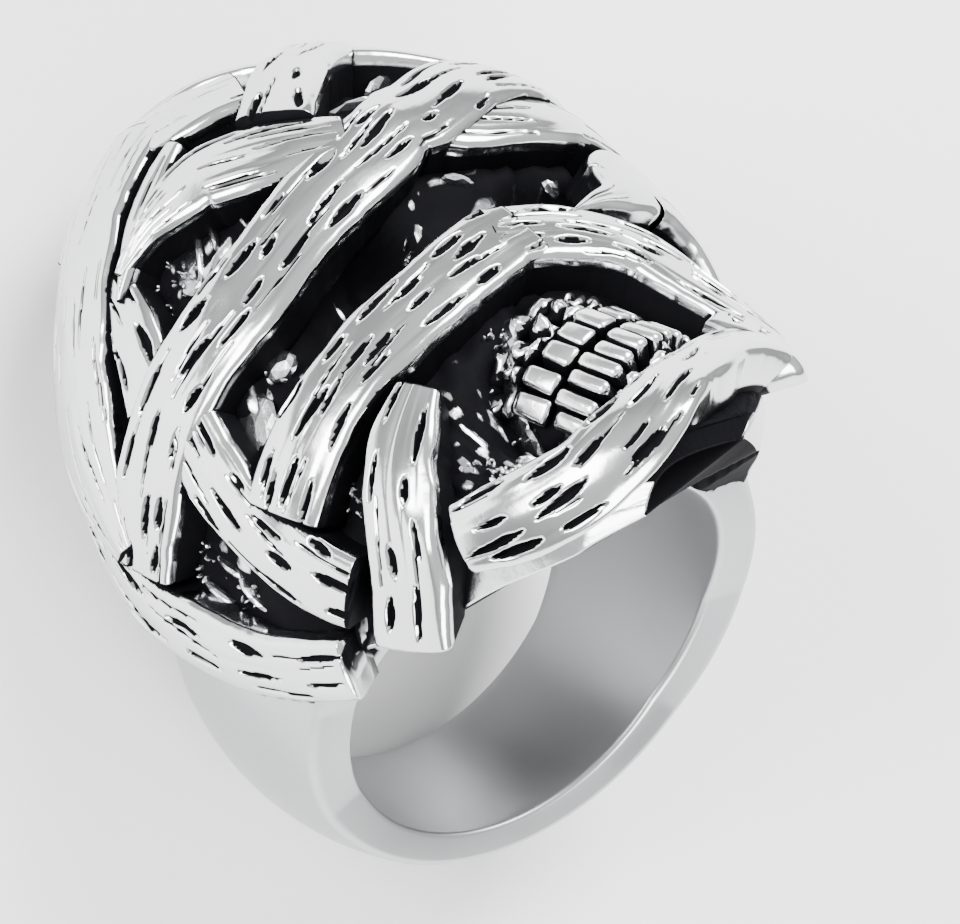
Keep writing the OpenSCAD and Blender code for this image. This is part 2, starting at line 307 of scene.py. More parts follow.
def shader_node(tree, kind, values):
    """A new node, with values for some of its sockets."""
    made = tree.nodes.new("ShaderNode" + kind)
    for socket, value in values.items():
        made.inputs[socket].default_value = value
    return made


def steel(name, colour, roughness, grain_scale, grain_depth):
    """Polished steel whose recesses are black."""
    material = bpy.data.materials.new(name)
    material.use_nodes = True
    tree = material.node_tree
    tree.nodes.clear()
    bright = shader_node(tree, "BsdfPrincipled", {"Base Color": (*colour, 1), "Metallic": 1})
    black = shader_node(tree, "BsdfPrincipled", patina)
    where = shader_node(tree, "TexCoord", {})
    grain = shader_node(tree, "TexNoise", {"Scale": grain_scale, "Detail": grain_detail})
    link(tree, where, "Object", grain, "Vector")
    rough = shader_node(tree, "MapRange", {"To Min": roughness * smoothest, "To Max": roughness * roughest})
    link(tree, grain, "Fac", rough, "Value")
    link(tree, rough, "Result", bright, "Roughness")
    uneven = shader_node(tree, "Bump", {"Strength": 1, "Distance": grain_depth})
    link(tree, grain, "Fac", uneven, "Height")
    link(tree, uneven, "Normal", bright, "Normal")
    link(tree, uneven, "Normal", black, "Normal")
    tone = shader_node(tree, "Attribute", {})
    tone.attribute_name = BLACK
    edge = shader_node(tree, "MapRange", patina_edge)
    edge.interpolation_type = "SMOOTHSTEP"
    link(tree, tone, "Fac", edge, "Value")
    mix = shader_node(tree, "MixShader", {})
    link(tree, edge, "Result", mix, "Fac")
    link(tree, bright, "BSDF", mix, 1)
    link(tree, black, "BSDF", mix, 2)
    link(tree, mix, "Shader", shader_node(tree, "OutputMaterial", {}), "Surface")
    return material


print("the metal is all black where the number is over", patina_edge["From Max"])

# %% Four finishes
# slot: name, colour, roughness, scale of the grain, depth of the grain
FINISHES = {
    "polished_steel": steel("band_finish", (0.46, 0.47, 0.48), 0.34, 200, 0),
    "pitted_steel": steel("strip_finish", (0.70, 0.71, 0.72), 0.15, 1400, 0.00001),
    "blackened_steel": steel("skull_finish", (0.72, 0.73, 0.75), 0.22, 1600, 0.00003),
    "antiqued_steel": steel("teeth_finish", (0.88, 0.89, 0.90), 0.22, 1500, 0.00003),
}
print("finishes:", ", ".join(FINISHES))

# %% [markdown]
# Every piece rides on the one body of the ring, has a slot for its finish, and stands for one of
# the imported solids, which it hides.

# %% Fit out a piece
def fit_out(piece, slot, *nodes):
    """Gives a piece the finish of its slot and its body, and hides the solids that it stands for."""
    piece.data.materials.append(FINISHES[slot])
    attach(piece, "root")
    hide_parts(*nodes)


print("the pieces ride on root")

# %% [markdown]
# The band is a ring of one section that changes from the palm to the head. A curve with a bevel
# would give it one section all round. So the section, a strip of wax with a long arc outside and
# soft edges, is spun round the finger in a full turn, and then each vertex is drawn out to the
# band's own width and thickness at its place.

# %% Sizes of the band
band_t, band_grow, band_crown = 2.2, 1.6, 0.9
band_w_back, band_w_side, band_w_front = 8, 11.5, 18.5
band_r = finger_r + band_t + band_grow
# The arc outside is flatter than the crown's height alone would make it
arc_more_r = 4
band_arc_r = ((band_w_back / 2) ** 2 + band_crown**2) / (2 * band_crown) + arc_more_r
shelf_x, band_limit_r = finger_r + 3.0, finger_r + 4.8
# [how far towards the palm, half width]
BAND_EDGE = np.array([
    [-finger_r - band_t, band_w_front / 2],
    [-finger_r, band_w_front / 2],
    [0, band_w_side / 2],
    [finger_r * 0.6, band_w_back / 2 + 0.5],
    [finger_r + band_t + 1, band_w_back / 2],
])
band_steps = 360
flat_share, edge_share = 0.94, 0.06
outer_round, inner_round = 0.2, 0.15


def band_section():
    """[share of the half width, share of the thickness] round the band's section."""
    outside = [(s, 1.0) for s in np.linspace(-flat_share, flat_share, 31)]
    inside = [(s, 0.0) for s in np.linspace(flat_share, -flat_share, 25)]
    turns = np.radians(np.linspace(0, 90, 7)[1:-1])
    outer_edge = [(flat_share + edge_share * math.sin(t), 1 - outer_round * (1 - math.cos(t))) for t in turns]
    wall = [(1.0, s) for s in (1 - outer_round, 0.5, inner_round)]
    inner_edge = [(1.0 - edge_share * (1 - math.cos(t)), inner_round * (1 - math.sin(t))) for t in turns]
    right = outer_edge + wall + inner_edge
    left = [(-s, t) for s, t in reversed(right)]
    return np.array(outside + right + inside + left)


print("the band's section has", len(band_section()), "points")

# %% The band
under_head = (-0.05, 0.25)
least_sine = 0.3
# Where the left of the band's outside is black, beside the head: [z from, to] and [y from, to]
covered_z, covered_y = (1.6, 2.4), (7.5, 6.5)


def drawn_out(co):
    """Where each vertex of the spun section belongs, and its share of the thickness."""
    share, thick = co[:, 1], np.hypot(co[:, 0], co[:, 2]) - finger_r
    turn = np.arctan2(co[:, 0], co[:, 2])
    down = -np.cos(turn) * (finger_r + band_t / 2)
    y = share * np.interp(down, BAND_EDGE[:, 0], BAND_EDGE[:, 1])
    dip = band_arc_r - np.sqrt(band_arc_r**2 - y**2)
    lift = band_grow * np.cos(turn)
    outer = lift + np.sqrt(np.maximum((band_r - dip) ** 2 - (band_grow * np.sin(turn)) ** 2, 0))
    shelf = shelf_x / np.maximum(np.abs(np.sin(turn)), least_sine)
    outer = np.minimum(outer, outer + (shelf - outer) * ramp(np.cos(turn), *under_head))
    reach = finger_r + thick * (np.minimum(outer, band_limit_r) - finger_r)
    return np.stack([reach * np.sin(turn), y, reach * np.cos(turn)], axis=-1), thick


def make_band():
    """The band: its section, spun round the finger and drawn out."""
    bm = new_bmesh()
    corners = [bm.verts.new((0, s, finger_r + t)) for s, t in band_section()]
    loop = [bm.edges.new((a, b)) for a, b in zip(corners, corners[1:] + corners[:1])]
    bmesh.ops.spin(bm, geom=corners + loop, cent=(0, 0, 0), axis=(0, 1, 0), angle=math.tau,
                   steps=band_steps, use_merge=True, use_duplicate=False)
    points, thick = drawn_out(np.array([v.co for v in bm.verts]))
    x, y, z = points.T
    black = ramp(z, *covered_z) * ramp(np.abs(y), *covered_y) * (thick > 0.5) * (x < 0)
    set_verts(bm, bm.verts, points, black)
    smooth(bm)
    bmesh.ops.recalc_face_normals(bm, faces=bm.faces)
    return finished("band", bm)


band = make_band()
fit_out(band, "polished_steel", "shank")

# %% [markdown]
# The skull under the strips has eye sockets, a nose and a mouth, and rough bumps all over, because
# no wheel reaches it. Sculpting would do, but dents pressed into the head's own form stay where
# the solid has them. The relief fades out at the rims, at the chin and behind the crown, where
# the casting has smooth edges.

# %% The skull's surface
skirt_a = 8
mouth_x, mouth_y, mouth_z, mouth_turn = 0.8, -8.4, 12.6, 16
face_z = 10
# Eye sockets, nose and mouth: [x, y, half width, half height, depth]
DENTS = [
    [-6.0, 1.6, 4.6, 3.2, 3.0],
    [6.0, 1.6, 4.6, 3.2, 3.0],
    [0, -4.6, 1.7, 2.1, 2.2],
    [mouth_x, mouth_y - 0.8, 9.4, 5.2, 3.4],
]
coarse_height, fine_height = 0.25, 0.20
# Where the relief fades out: [none of it at, all of it at]
left_rim_fade, right_rim_fade, crown_fade = (-skirt_a, 6), (180 + skirt_a, 174), (19.5, 18.0)
# Where most of it fades out as well: [from, to]
chin_side_y, chin_side_a, chin_end_y = (-10.8, -11.6), (30, 20), (-12.5, -13.5)
chin_smooth = 0.9


def dent(points, x, y, half_w, half_h):
    """1 in the middle of an egg-shaped dent and 0 outside it, seen from in front of the face."""
    away = np.hypot((points[..., 0] - x) / half_w, (points[..., 1] - y) / half_h)
    return ramp(away, 1.0, 0.45) * (points[..., 2] > face_z)


def rough_ground(y, a):
    """Coarse and fine bumps of the unpolished metal."""
    return bumps(y / 1.3, a / 5.5, 11), bumps(y / 0.5, a / 2.2, 12)


def skull_relief(points, y, a):
    """Height of the skull's surface over its plain form."""
    form = np.zeros(points.shape[:-1])
    for *egg, depth in DENTS:
        form -= depth * dent(points, *egg)
    coarse, fine = rough_ground(y, a)
    return form + coarse_height * coarse + fine_height * fine


def skull_surface(y, a):
    """Points on the skull."""
    relief = skull_relief(lifted(y, a, np.full(y.shape, -wrap_depth)), y, a)
    relief = relief * ramp(a, *left_rim_fade) * ramp(a, *right_rim_fade)
    chin_side = ramp(y, *chin_side_y) * ramp(a, *chin_side_a)
    relief *= 1 - chin_smooth * np.maximum(chin_side, ramp(y, *chin_end_y))
    relief *= ramp(y, *crown_fade)
    return lifted(y, a, relief - wrap_depth)


print("a socket's ground", np.round(skull_surface(np.array([1.6]), np.array([66.0]))[0], 1))

# %% [markdown]
# The skull's piece is a rolled grid. Its rings run round the head: over the top on the skull's own
# surface, and back below, where the casting is open for the finger and hollow behind the crown
# and under the chin. The back of each ring stays a millimetre below the ring's top.

# %% The back of the casting
bore_gap = 0.3
least_roof = 1.0
least_floor_gap = 0.06
# The hollows behind the crown and under the chin, as eggs: [middle, half size]
HOLLOWS = [((0, 14.6, 6.4), (10.0, 5.4, 10.6)), ((1.2, -12.8, 10.0), (7.2, 3.8, 4.6))]
under_places = 90


def hollow_height(x, y, floor_z):
    """Height of the back of the casting: the rim's plane, the finger hole or a hollow above it."""
    height = np.maximum(floor_z, np.sqrt(np.maximum((finger_r + bore_gap) ** 2 - x**2, 0)))
    for middle, size in HOLLOWS:
        away = ((x - middle[0]) / size[0]) ** 2 + ((y - middle[1]) / size[1]) ** 2
        rise = middle[2] + size[2] * np.sqrt(np.maximum(1 - away, 0))
        height = np.where(away < 1, np.maximum(height, rise), height)
    return height


def skull_back(over):
    """The places of each ring that lead back below the head, from its right rim to its left."""
    start, end = over[:, -1], over[:, 0]
    s = np.linspace(0, 1, under_places + 2)[1:-1]
    under = start[:, None] + (end - start)[:, None] * s[None, :, None]
    rise = hollow_height(*np.moveaxis(under, -1, 0))
    top = over[..., 2].max(axis=1)[:, None] - least_roof
    under[..., 2] = np.minimum(rise, np.maximum(top, under[..., 2]))
    return under


def above_floor(points):
    """Points of the ring, pushed up where they would touch the floor that it lies on."""
    below = np.maximum(least_floor_gap - lay_down(points)[..., 2] / MM, 0)
    return points + below[..., None] * ring_axes[:, 2]


print("the back is", round(float(hollow_height(0.0, 14.6, 0.0)), 1), "mm over the finger at the crown")

# %% [markdown]
# Almost all of the skull is black. The wheel has reached only the tips of the bumps, one corner by
# the band and the two sides of the chin. Last, the chin's flat end is pressed in by three insets,
# because the casting is open there.

# %% The skull
skull_step = 0.28
over_places = 170
bright_tips = (0.36, 0.62)
# The chin's end as insets: [thickness, depth]
CHIN_INSETS = [(0.2, 0.0), (0.25, -1.6), (0.5, -0.6)]


def skull_black(points, y, a):
    """How black the skull is."""
    x, at_y, z = np.moveaxis(points, -1, 0)
    corner = ramp(at_y, -6.2, -6.8) * ramp(x, -9, -10) * ramp(z, 5.2, 4.4)
    left_chin = ramp(y, -11.0, -11.6) * ramp(a, 26, 16)
    right_chin = ramp(y, -12.2, -12.8) * ramp(a, 138, 150)
    coarse, fine = rough_ground(y, a)
    tips = ramp(0.4 * coarse + 0.9 * fine, *bright_tips) * ramp(y, -13.5, -12.5)
    black = 1 - corner
    black[:, :over_places] -= np.maximum(left_chin, tips)
    black[:, :over_places] *= 1 - right_chin
    return np.maximum(black, 0)


def hollow_the_chin(piece):
    """Presses the flat end of the chin inwards."""
    bm = bmesh.new()
    bm.from_mesh(piece.data)
    tone = bm.verts.layers.float[BLACK]
    ends = [face for face in bm.faces if len(face.verts) > 20]
    chin = max(ends, key=lambda face: face.calc_center_median().z)
    for thickness, depth in CHIN_INSETS:
        bmesh.ops.inset_region(bm, faces=[chin], thickness=thickness * MM, depth=depth * MM)
        for vert in chin.verts:
            vert[tone] = 1
    bm.to_mesh(piece.data)
    bm.free()


def make_skull():
    """The skull: rings over the head's top and back along the casting's hollows."""
    rings = int(np.ptp(HEAD[:, 0]) / skull_step)
    t = np.linspace(0, 1, rings + 1)
    ring_y = chin_y + (crown_y - chin_y) * (0.5 - 0.5 * np.cos(np.pi * t))
    y, a = np.meshgrid(ring_y, np.linspace(-skirt_a, 180 + skirt_a, over_places), indexing="ij")
    over = skull_surface(y, a)
    points = above_floor(np.concatenate([over, skull_back(over)], axis=1))
    piece = rolled("skull", points, skull_black(points, y, a))
    hollow_the_chin(piece)
    return piece


skull = make_skull()
fit_out(skull, "blackened_steel", "skull")

# %% [markdown]
# In the hollows of the face the casting is rough. Small bright chips stand out of the black: some
# lie alone, as long slivers, and some in little clusters of a random make. They could be scattered
# with geometry nodes, but the slivers have their own places. Each chip is a faceted ball,
# stretched along its line and flattened on to the skull.

# %% Places of the chips
# [from y, from a, to y, to a, width, height, how black]
SLIVERS = [
    # left half of the forehead
    [10.6, 51, 7.0, 42, 0.45, 0.5, 0],
    [10.0, 53, 7.6, 49, 0.4, 0.45, 0],
    [8.8, 57, 7.2, 57, 0.35, 0.45, 0],
    [8.3, 62, 7.0, 63, 0.35, 0.45, 0],
    [7.8, 66, 6.9, 68, 0.3, 0.4, 0],
    [9.3, 46, 7.9, 38, 1.8, 0.2, 0.5],
    # left eye
    [2.0, 44, 0.6, 42, 1.7, 0.45, 0],
    [1.6, 36, 0.0, 26, 2.2, 0.2, 0.5],
    [2.6, 46, 2.0, 40, 0.4, 0.45, 0],
    # over the left shoulder
    [1.0, 5, -1.2, 4, 0.5, 0.45, 0],
    [-0.8, 4, -2.8, 0, 0.5, 0.45, 0],
    [1.4, 1, -1.0, -1, 0.4, 0.4, 0],
    [0.4, -2, -2.0, -3, 1.4, 0.2, 0.5],
    # crown
    [11.8, 87, 10.3, 96, 0.4, 1.0, 0],
    [13.0, 96, 14.2, 109, 0.5, 1.0, 0],
    [10.6, 90, 9.6, 99, 0.3, 0.9, 0.4],
    # right eye
    [4.6, 91, 3.9, 94, 0.5, 0.5, 0],
    [3.9, 108, 3.4, 112, 0.5, 0.5, 0],
    [2.7, 102, 2.1, 106, 0.4, 0.5, 0],
    # under the left cheek
    [-10.2, 58, -11.2, 54, 0.4, 0.6, 0],
    [-10.4, 52, -11.3, 55, 0.35, 0.6, 0],
    # edge of the bone beside the teeth
    [-4.4, 83, -6.0, 78, 0.9, 1.5, 0],
    [-5.4, 79, -7.4, 73, 0.8, 1.7, 0],
    [-6.9, 74, -8.6, 70, 0.9, 1.6, 0],
    [-8.2, 71, -9.9, 66, 0.8, 1.5, 0],
]
# [y, a, half size, count]
CLUSTERS = [
    [9.4, 37, 1.3, 22], [0.4, 70, 1.1, 34], [1.9, 80, 0.6, 14], [0.2, 64, 0.6, 14], [2.2, 4, 1.0, 16],
    [-5.7, 27, 1.3, 34], [-10.2, 47, 1.1, 26], [-11.2, 44, 0.7, 12], [-5.4, 79, 0.8, 16],
    [-7.2, 74, 0.9, 18], [-8.9, 69, 0.9, 18], [6.4, 130, 0.7, 8], [1.4, 42, 0.8, 8], [-1.6, 2, 0.9, 14],
]
print(len(SLIVERS), "slivers and", sum(cluster[-1] for cluster in CLUSTERS), "small chips")

# %% Chips in the hollows
degrees_per_mm = 4
chip_reach = 0.35
chip_width, chip_height, chip_shades = (0.12, 0.3), (0.2, 0.4), [0, 0, 0.4]
least_chip = 0.1
chip_foot = -0.2


def add_chip(bm, start, end, width, height, black):
    """One chip on the skull, between two places [y, a]."""
    ends = skull_surface(*np.array([start, end], float).T)
    middle = (np.array(start) + np.array(end)) / 2
    length = max(np.linalg.norm(ends[1] - ends[0]), least_chip)
    ahead = (ends[1] - ends[0]) / length
    side = unit(np.cross(skin_normal(*middle), ahead))
    axes = np.array([ahead * length, side * width, np.cross(ahead, side) * height * 2]) / 2
    verts = bmesh.ops.create_icosphere(bm, subdivisions=2, radius=1)["verts"]
    ball = np.array([v.co for v in verts])
    ball[:, 2] = np.maximum(ball[:, 2], chip_foot)
    set_verts(bm, verts, ball @ axes + ends.mean(axis=0), np.full(len(verts), float(black)))


def make_chips():
    """The slivers and the clusters of small chips, as one piece."""
    rng = np.random.default_rng(3)
    bm = new_bmesh()
    for y, a, to_y, to_a, width, height, black in SLIVERS:
        add_chip(bm, (y, a), (to_y, to_a), width, height, black)
    for y, a, size, count in CLUSTERS:
        for _ in range(count):
            here = np.array([y, a]) + rng.uniform(-1, 1, 2) * size * (1, degrees_per_mm)
            there = here + rng.uniform(-chip_reach, chip_reach, 2) * (1, degrees_per_mm)
            width, height = rng.uniform(*chip_width), rng.uniform(*chip_height)
            add_chip(bm, here, there, width, height, rng.choice(chip_shades))
    bmesh.ops.recalc_face_normals(bm, faces=bm.faces)
    return finished("skull_chips", bm)


chips = make_chips()
fit_out(chips, "blackened_steel", "skull")

# %% [markdown]
# Each strip follows a route over the head, given by a few points [y, a] or [y, a, share of the
# width]. A curve with a bevel would twist off the head, so each strip is a rolled grid: a smooth
# curve runs through the route's points, and rings of the strip's section are set along it, square
# to it, each standing on the head.

# %% Routes of the strips
# name: (width, height over the outer face, bright part of the side wall, rows of pits, rows of cuts, route)
WRAPS = {
    "left_shoulder_wrap": (3.2, 0.0, 3.0, 2, 3, [
        [10.5, 1], [7.3, -1], [3.8, -4], [0, -5], [-3, -6.5], [-5.3, -7.5], [-7.9, -9]]),
    "brow_wrap": (4.3, 0.4, 0.5, 3, 4, [
        [4.0, 0], [4.1, 26], [3.8, 50], [5.0, 72], [6.1, 84], [8.8, 101], [9.6, 112], [11, 130], [12, 150]]),
    "left_nose_wrap": (3.9, 0.45, 0.6, 4, 2, [
        [-3.6, 20], [-3.1, 38], [-2.9, 56], [-2.4, 73], [-1.0, 91]]),
    "right_nose_wrap": (3.8, 0.36, 0.5, 4, 3, [
        [-0.9, 88], [-1.7, 95.5], [-3.4, 106], [-5.9, 115], [-8.0, 126], [-9.0, 138], [-9.4, 152]]),
    "right_brow_wrap": (3.8, 0.0, 0.6, 0, 4, [
        [6.9, 92], [6.4, 99], [6.3, 110], [6.6, 120], [6.3, 133], [5.0, 150], [3.4, 174]]),
    "right_temple_wrap": (4.4, 0.2, 0.7, 0, 2, [
        [-0.8, 98, 0.08], [0.0, 105, 0.25], [0.5, 112, 0.5], [1.3, 117, 0.9], [2.2, 123, 1.1],
        [2.0, 138, 1.1], [1.0, 154, 1], [-0.4, 172, 1]]),
    "left_diagonal_wrap": (3.4, 0.3, 0.4, 3, 3, [
        [3.4, 25], [1.5, 22], [-1.6, 17], [-4.8, 12], [-7.9, 7]]),
    "left_cheek_wrap": (3.8, 0.4, 0.5, 2, 2, [
        [-6.0, 54, 0.55], [-7.4, 40, 0.9], [-9.3, 23, 1], [-10.4, 9, 1], [-10.9, -7, 1]]),
    "chin_wrap": (4.0, 0.32, 1.6, 4, 2, [
        [-12.2, 17, 0.85], [-14.3, 20, 1], [-15.8, 31, 1], [-16.1, 48, 1], [-15.7, 69, 0.9],
        [-14.4, 87, 0.85], [-12.5, 104, 0.8], [-11.6, 120, 0.8], [-11.6, 134, 0.75], [-12.0, 145, 0.6],
        [-12.1, 155, 0.35]]),
    "right_cheek_wrap": (3.8, 0.3, 0.5, 2, 2, [
        [-10.6, 122], [-8.4, 134], [-5.4, 148], [-3, 162]]),
    "crown_edge_wrap": (5.4, 0.5, 0.6, 0, 6, [
        [17.4, 54, 0.9], [16.3, 42, 1], [14.6, 29, 1], [13.0, 21, 1], [11.2, 14, 1], [9.2, 8, 0.95],
        [6.8, 4, 0.7], [4.6, 1, 0.3]]),
    "crown_layer_wrap": (1.5, 0.25, 0.4, 0, 1, [
        [13.5, 57, 0.7], [12.7, 49, 1], [11.8, 42, 1], [10.6, 35, 0.7], [9.7, 30, 0.2]]),
    "crown_back_wrap": (4.8, 0.4, 0.6, 0, 6, [
        [17.0, 46], [16.5, 56], [15.3, 66], [14.4, 76]]),
    "crown_front_wrap": (3.5, 0.6, 0.7, 2, 1, [
        [10.1, 73], [12.5, 81], [14.7, 89.5], [16.9, 100], [19.0, 110]]),
    "forehead_wrap": (4.3, 0.3, 0.4, 0, 8, [
        [10.5, 33, 0.15], [10.8, 42, 0.5], [10.6, 50, 0.8], [10.3, 56, 0.95], [9.6, 61, 1], [8.7, 67, 1],
        [7.9, 73, 0.85], [7.0, 80, 0.7]]),
    "left_temple_wrap": (3.0, 0.0, 0.4, 2, 1, [
        [11.5, 28], [9.3, 28], [7.4, 26], [5.6, 21]]),
    "crown_right_wrap": (3.6, 0.1, 0.5, 1, 4, [
        [13.4, 112], [14.6, 120], [16.0, 138]]),
    "crown_cross_wrap": (3.6, 0.3, 0.5, 2, 3, [
        [16.8, 100], [15.0, 114], [12.4, 128], [9.6, 142], [7.6, 156], [6.6, 170]]),
    "right_edge_wrap": (3.8, 0.0, 0.6, 2, 3, [
        [19.4, 112], [18.2, 130], [15.8, 146], [12.8, 158], [9.6, 168]]),
    "crown_rim_wrap": (3.2, 0.2, 0.8, 2, 3, [
        [19.0, 14], [19.9, 40], [20.2, 66], [20.3, 90], [20.2, 114], [19.9, 140], [19.0, 166]]),
    "right_shoulder_wrap": (3.2, 0.0, 3.0, 2, 3, [
        [10.5, 179], [7.3, 181], [3.8, 184], [0, 185], [-3, 186.5]]),
}
print(len(WRAPS), "strips")

# %% [markdown]
# The curve through a route's points passes through each of them, as a thread over pegs would. The
# rings along it are evenly spaced on the head itself, not on the route's numbers.

# %% Along a route
ring_gap = 0.12
measure_points = 600
look_ahead = 0.1


def on_route(route, u):
    """A smooth curve through the route's points, at u from 0 to the number of its spans."""
    points, last = np.array(route, float), len(route) - 1
    i = np.clip(np.floor(u).astype(int), 0, last - 1)
    t = (u - i)[:, None]
    p, q, r, s = (points[np.clip(i + k, 0, last)] for k in (-1, 0, 1, 2))
    return 0.5 * (2 * q + (r - p) * t + (2 * p - 5 * q + 4 * r - s) * t**2 + (3 * q - p - 3 * r + s) * t**3)


def route_skin(route, u):
    """The route's points on the head."""
    here = on_route(route, u)
    return skin(here[:, 0], here[:, 1])


def even_steps(route):
    """Values of u that are evenly spaced along the strip, and how far along each one is."""
    u = np.linspace(0, len(route) - 1, measure_points)
    line = route_skin(route, u)
    far = np.concatenate([[0], np.cumsum(np.linalg.norm(np.diff(line, axis=0), axis=1))])
    along = np.linspace(0, far[-1], int(far[-1] / ring_gap))
    return np.interp(along, far, u), along


def across_route(route, u):
    """The direction across the strip, square to its route."""
    ahead = route_skin(route, np.minimum(u + look_ahead, len(route) - 1))
    back = route_skin(route, np.maximum(u - look_ahead, 0))
    y, a = on_route(route, u)[:, :2].T
    return unit(np.cross(ahead - back, skin_normal(y, a)))


brow_route = WRAPS["brow_wrap"][-1]
print("the brow strip is", round(float(even_steps(brow_route)[1][-1]), 1), "mm long")

# %% [markdown]
# A strip's section has straight side walls, soft corners and a top that is a little round. The
# walls go down a little way into the skull, so that no gap shows where the skull is even.

# %% Section of a strip
place_gap = 0.075
wrap_corner, wrap_camber, wrap_root = 0.45, 0.15, 0.4
corner_places, wall_places = 7, 8


def wrap_section(width, lift):
    """[sideways, height, share of the relief] round a strip's section, from its left foot."""
    half, low = width / 2, -wrap_depth - wrap_root
    soft = min(wrap_corner, width / 4)
    flat = half - soft
    corner = []
    for t in np.radians(np.linspace(90, 0, corner_places)):
        corner.append((-half + soft * (1 - math.sin(t)), lift - soft * (1 - math.cos(t)), math.cos(t) ** 2))
    top = [(x, lift, 1.0) for x in np.linspace(-flat, flat, int(2 * flat / place_gap))[1:-1]]
    wall = [(-half, z, 0.0) for z in np.linspace(low, lift - soft, wall_places)[:-1]]
    right = [(-x, z, w) for x, z, w in reversed(wall + corner)]
    section = np.array(wall + corner + top + right)
    section[:, 1] += wrap_camber * (1 - (section[:, 0] / half) ** 2) * (section[:, 2] > 0)
    return section


print("a strip 4 mm wide has", len(wrap_section(4, 0)), "points round it")

# %% [markdown]
# Pits and cuts are pressed into each strip's top. A pit is short and wide, a cut is long and fine,
# and both run along the strip and come to a point at each end. They are real dents, because a bump
# texture casts no shadow and isn't in the mesh.

# %% Pits and cuts
# [shortest, longest, finest, widest, least gap, most gap, depth]
PIT = (1.2, 3.0, 0.26, 0.44, 0.5, 2.2, 0.34)
CUT = (1.5, 5.0, 0.11, 0.17, 1.0, 4.5, 0.15)
plain_edge = 0.4
most_slant, most_shift = 0.12, 0.35
least_half = 0.02
# A row's first slot starts somewhere in this stretch, and its last one before this gap
first_slot, end_gap = (-0.3, 1.2), 0.3
pointed, uneven_width, uneven_depth = 0.7, 0.25, (0.75, 1.25)
# name: how far along the strip its pits end, [none from, all up to], and how much this line slants
PITS_END = {"chin_wrap": (17.5, 15.5)}
pits_end_slant = 2.5


def slots(along, side, width, rows, kind, rng):
    """How deep the pits or cuts are at each place, in millimetres."""
    shortest, longest, finest, widest, least_gap, most_gap, deep = kind
    depth = np.zeros((len(along), len(side)))
    for row in range(rows):
        middle = ((row + 0.5) / rows - 0.5) * (width - plain_edge)
        at = rng.uniform(*first_slot)
        while at < along[-1] - end_gap:
            length, wide = rng.uniform(shortest, longest), rng.uniform(finest, widest)
            slant = rng.uniform(-most_slant, most_slant)
            shift = rng.uniform(-most_shift, most_shift) * width / max(rows, 3)
            s = along - at - length / 2
            point = np.clip(1 - (2 * s / length) ** 2, 0, 1) ** pointed
            half = wide / 2 * point * (1 + uneven_width * bumps(along / 0.7, row + at, 5))
            away = np.abs(side[None, :] - middle - shift - (slant * s)[:, None])
            away = away / np.maximum(half, 1e-3)[:, None]
            slot = deep * rng.uniform(*uneven_depth) * ramp(away, 1.25, 0.45)
            depth = np.maximum(depth, slot * (half > least_half)[:, None])
            at += length + rng.uniform(least_gap, most_gap)
    return depth


print("pits are up to", PIT[1], "mm long and cuts up to", CUT[1], "mm")

# %% [markdown]
# Now the strips themselves. Their edges are a little ragged, and fine lines and a soft swell run
# over them. Black are the ground of the pits and cuts, the lower part of the side walls, and the
# cut ends.

# %% The strips
line_depth, swell_height = 0.025, 0.07
PIT_BLACK, CUT_BLACK = (0.08, 0.2), (0.05, 0.1)
wall_fade = 0.4
end_black = (0.14, 0.02)
# The cut ends stay bright below this y, and where the side wall is bright as well
bright_end_y = (-8.9, -8.3)
bright_wall = 1


def wrap_spread(along, side, width, seed):
    """How far each place of the section lies from the middle line, with ragged edges."""
    ragged = 0.07 * bumps(along / 1.8, 3.5, seed) + 0.02 * bumps(along / 0.6, 7.5, seed + 1)
    return side[None, :] * (1 + ragged[:, None] * np.abs(side / (width / 2)) ** 3)


def wrap_relief(along, side, pit, cut, seed):
    """Height of a strip's top over its plain form."""
    lines = bumps(along[:, None] / 4.0, side[None, :] / 0.32, seed + 2)
    swell = bumps(along[:, None] / 2.6, side[None, :] / 1.5, seed + 3)
    return -np.maximum(pit, cut) - line_depth * ramp(lines, 0.0, 0.7) + swell_height * (swell - 1)


def make_wrap(name, width, lift, shine, pit_rows, cut_rows, route, seed):
    """One strip along its route, with its pits and cuts."""
    rng = np.random.default_rng(seed)
    u, along = even_steps(route)
    here = on_route(route, u)
    side, height, share = wrap_section(width, lift).T
    pit = slots(along, side, width, pit_rows, PIT, rng)
    cut = slots(along, side, width, cut_rows, CUT, rng)
    if name in PITS_END:
        pitted = ramp(along[:, None] + pits_end_slant * side[None, :], *PITS_END[name])
        pit, cut = pit * pitted, cut * pitted
    tall = height[None, :] + wrap_relief(along, side, pit, cut, seed) * share[None, :]
    spread = wrap_spread(along, side, width, seed)
    if here.shape[1] > 2:
        spread = spread * here[:, 2:]
    y, a = walk(here[:, :1], here[:, 1:2], across_route(route, u)[:, None], spread)
    marks = np.maximum(ramp(pit, *PIT_BLACK), ramp(cut, *CUT_BLACK)) * share
    wall = ramp(lift - height, shine, shine + wall_fade)[None, :]
    from_end = np.minimum(along, along[-1] - along)
    ends = ramp(from_end, *end_black) * ramp(here[:, 0], *bright_end_y) * (shine < bright_wall)
    black = np.maximum(np.maximum(marks, wall), ends[:, None])
    return rolled(name, lifted(y, a, tall), black)


wraps = []
for number, (name, row) in enumerate(WRAPS.items()):
    wraps.append(make_wrap(name, *row, seed=100 + 10 * number))
    fit_out(wraps[-1], "pitted_steel", "wraps")

# %% [markdown]
# The jaws stand in the gap under the nose strips. Each tooth starts as a cube, is drawn in towards
# its root and bevelled round, and is set on the jaw's arch. An array along a curve would make all
# the teeth alike, so a loop makes them, each a little different.

# %% Teeth
jaw_r = 4.2
teeth_span, tooth_h = 130, 1.0
